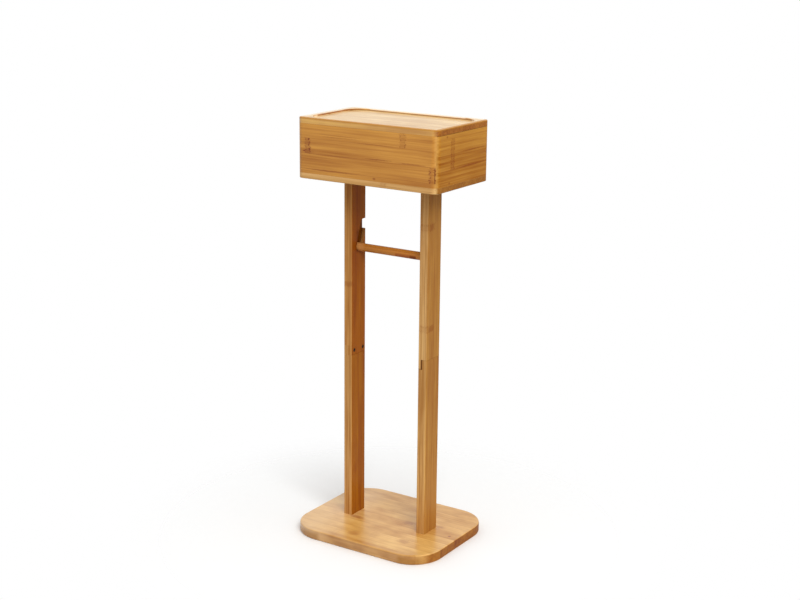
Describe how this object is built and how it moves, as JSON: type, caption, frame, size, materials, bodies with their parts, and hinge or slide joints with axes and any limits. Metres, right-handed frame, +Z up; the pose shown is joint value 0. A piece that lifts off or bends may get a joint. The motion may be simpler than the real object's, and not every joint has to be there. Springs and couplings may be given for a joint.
{
  "type": "toilet paper holder with shelf",
  "caption": "Free-standing bamboo toilet paper holder: base board, jointed posts, a lift-out rod in blind slots and a storage box whose loose lid is a sunk shelf.",
  "frame": {"origin": "on the floor under the middle of the base board", "axes": "+Z up, +X to the right seen from the front, front faces -Y"},
  "size_m": [0.25, 0.2, 0.647],
  "materials": {
    "bamboo_base": "satin lacquer",
    "bamboo_post": "satin lacquer",
    "bamboo_rod": "satin lacquer",
    "bamboo_box": "satin lacquer",
    "bamboo_lid": "satin lacquer",
    "dark_screw": "dark coated steel"
  },
  "bodies": {
    "stand": {"base_plate": "bamboo_base", "left_lower_post": "bamboo_post", "right_lower_post": "bamboo_post", "left_upper_post": "bamboo_post", "right_upper_post": "bamboo_post", "box_floor": "bamboo_box", "box_front_wall": "bamboo_box", "box_back_wall": "bamboo_box", "box_left_wall": "bamboo_box", "box_right_wall": "bamboo_box", "base_screws": "dark_screw", "lap_screws": "dark_screw", "box_screws": "dark_screw"},
    "lid": {"lid_tray": "bamboo_lid", "left_lid_batten": "bamboo_box", "right_lid_batten": "bamboo_box"},
    "rod": {"paper_rod": "bamboo_rod"}
  },
  "joints": [
    {"name": "lid_lift", "type": "slide", "parent": "stand", "child": "lid", "axis": [0, 0, 1], "range_m": [0, 0.1]},
    {"name": "rod_lift", "type": "slide", "parent": "stand", "child": "rod", "axis": [0, 0.2924, 0.9563], "range_m": [0, 0.034]}
  ]
}
